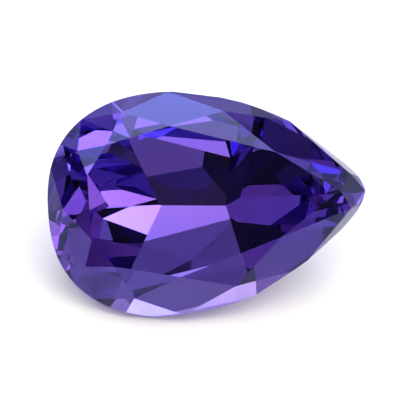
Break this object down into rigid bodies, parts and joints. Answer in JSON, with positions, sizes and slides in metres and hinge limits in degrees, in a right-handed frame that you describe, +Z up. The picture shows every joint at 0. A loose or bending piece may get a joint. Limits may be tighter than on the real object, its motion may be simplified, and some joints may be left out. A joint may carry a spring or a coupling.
{
  "type": "faceted pear-cut tanzanite gemstone",
  "caption": "Loose transparent blue-violet gemstone, cut as a faceted teardrop with a flat table, a thin girdle and a pointed underside, lying on one facet of its underside",
  "frame": {"origin": "on the surface that the stone lies on, under the middle of its outer box", "axes": "+Z is up as the stone lies. +X runs along the stone toward its pointed tip. +Y points away from the side toward which the table leans"},
  "size_m": [0.012, 0.0068, 0.006],
  "materials": {
    "tanzanite": "polished"
  },
  "bodies": {
    "root": {"tanzanite_gem": "tanzanite"}
  },
  "joints": []
}
